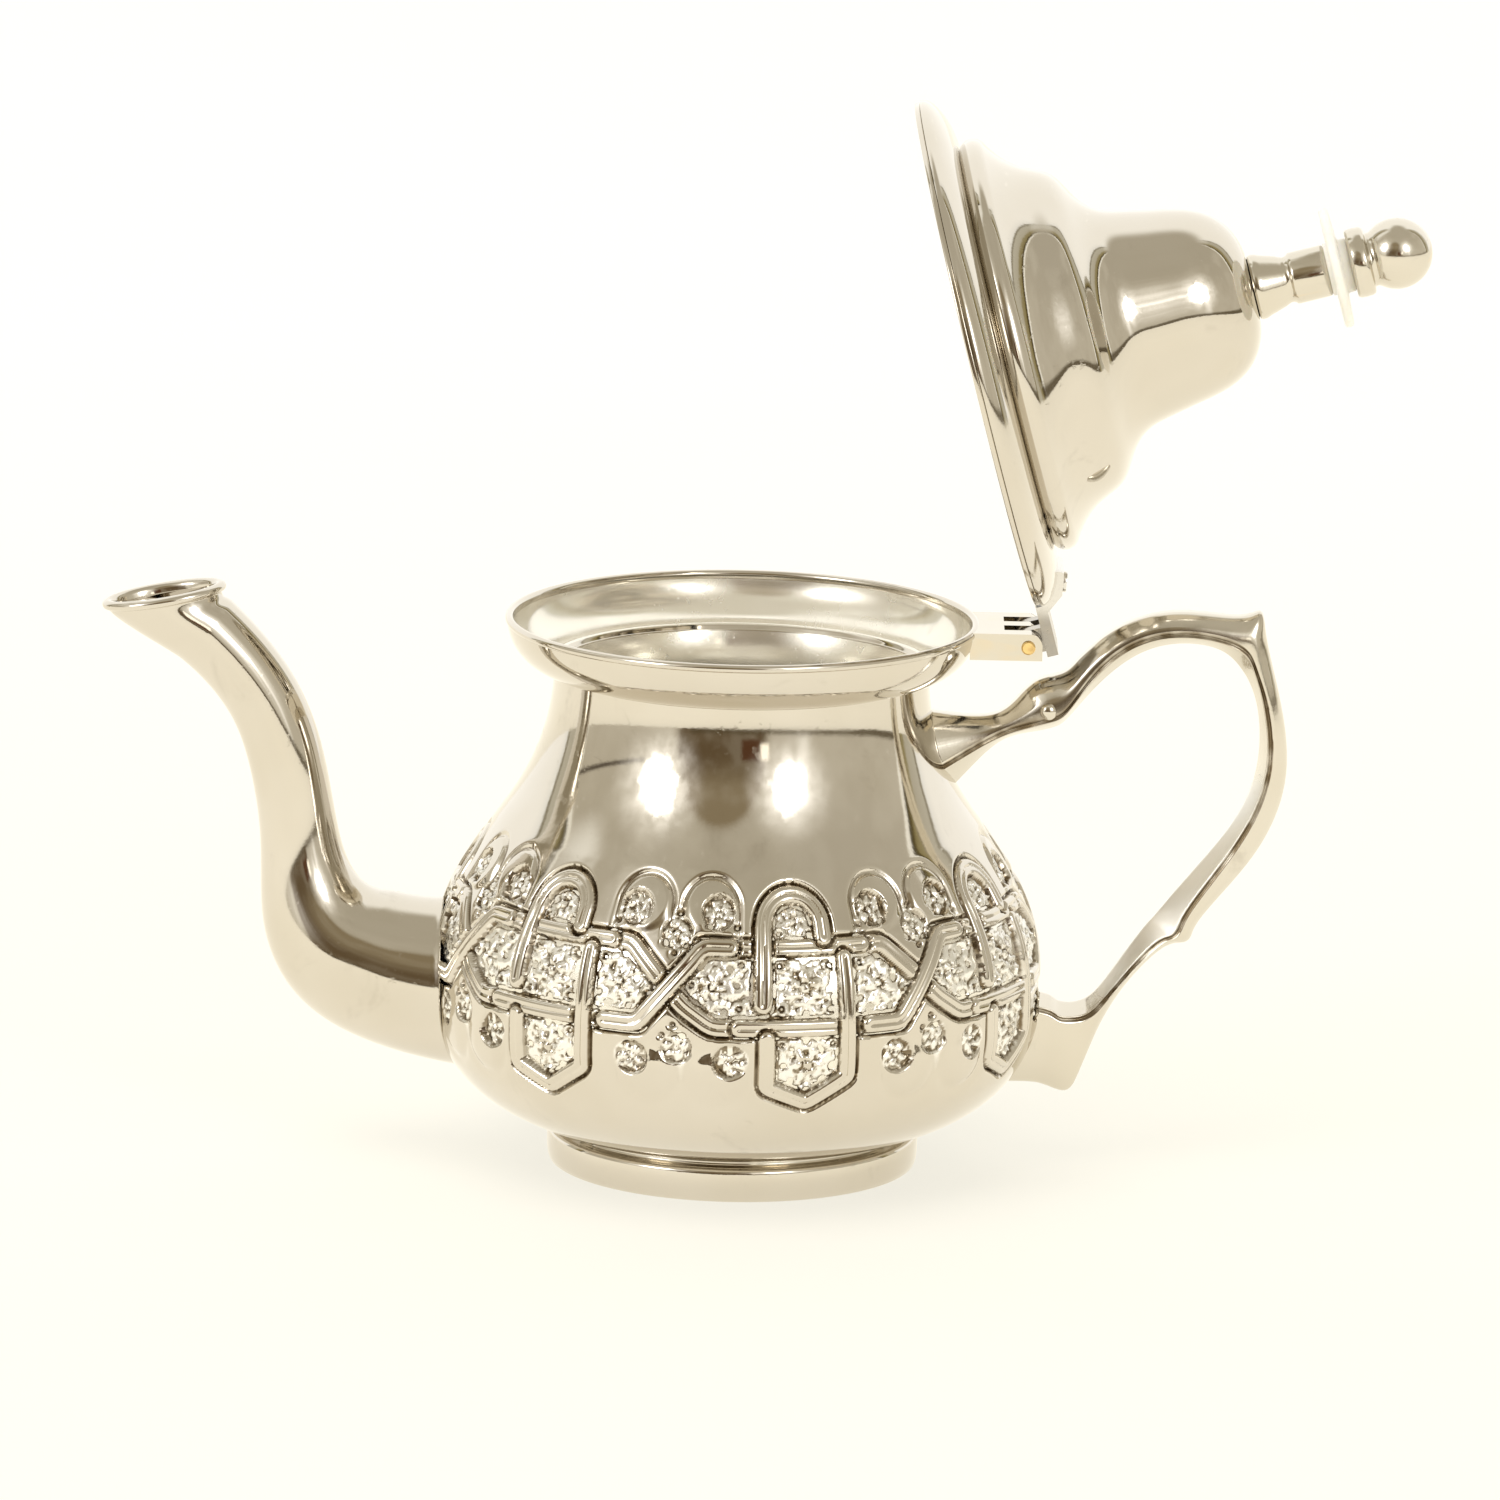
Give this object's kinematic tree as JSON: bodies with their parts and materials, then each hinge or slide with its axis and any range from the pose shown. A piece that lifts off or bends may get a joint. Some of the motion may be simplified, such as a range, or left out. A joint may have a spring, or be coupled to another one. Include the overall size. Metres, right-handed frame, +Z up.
{
  "type": "teapot",
  "caption": "Small plated-brass pouring pot with embossed belly, S-shaped spout, cast loop handle and tall hinged bell lid with an insulated finial.",
  "frame": {"origin": "centre of the foot ring's underside, on the surface the pot stands on", "axes": "+Z up, +X from the spout towards the handle and hinge, Y across along the hinge pin"},
  "size_m": [0.2154, 0.1006, 0.1766],
  "materials": {
    "plate_body": "polished nickel plate over brass, embossed band",
    "plate_cast": "polished nickel plate over cast brass, slightly grainy",
    "plate_dull": "satin nickel plate",
    "pin_brass": "bare polished brass",
    "insulator": "moulded off-white plastic, semi-gloss"
  },
  "bodies": {
    "pot": {"body_shell": "plate_body", "bottom_plate": "plate_dull", "foot_ring": "plate_body", "mouth_collar": "plate_body", "spout": "plate_cast", "spout_strainer": "plate_dull", "handle": "plate_cast", "hinge_bracket": "plate_body", "hinge_pin": "pin_brass"},
    "lid": {"lid_shell": "plate_body", "lid_seat_ring": "plate_body", "hinge_leaf": "plate_dull", "leaf_rivet": "plate_dull", "finial_post": "plate_body", "finial_insulator": "insulator", "finial_knob": "plate_body", "finial_washer": "plate_dull", "finial_screw": "plate_dull"}
  },
  "joints": [
    {"name": "lid_hinge", "type": "hinge", "parent": "pot", "child": "lid", "pos_m": [0.0466, 0, 0.08865], "axis": [0, 1, 0], "range_deg": [-75, 0]}
  ]
}
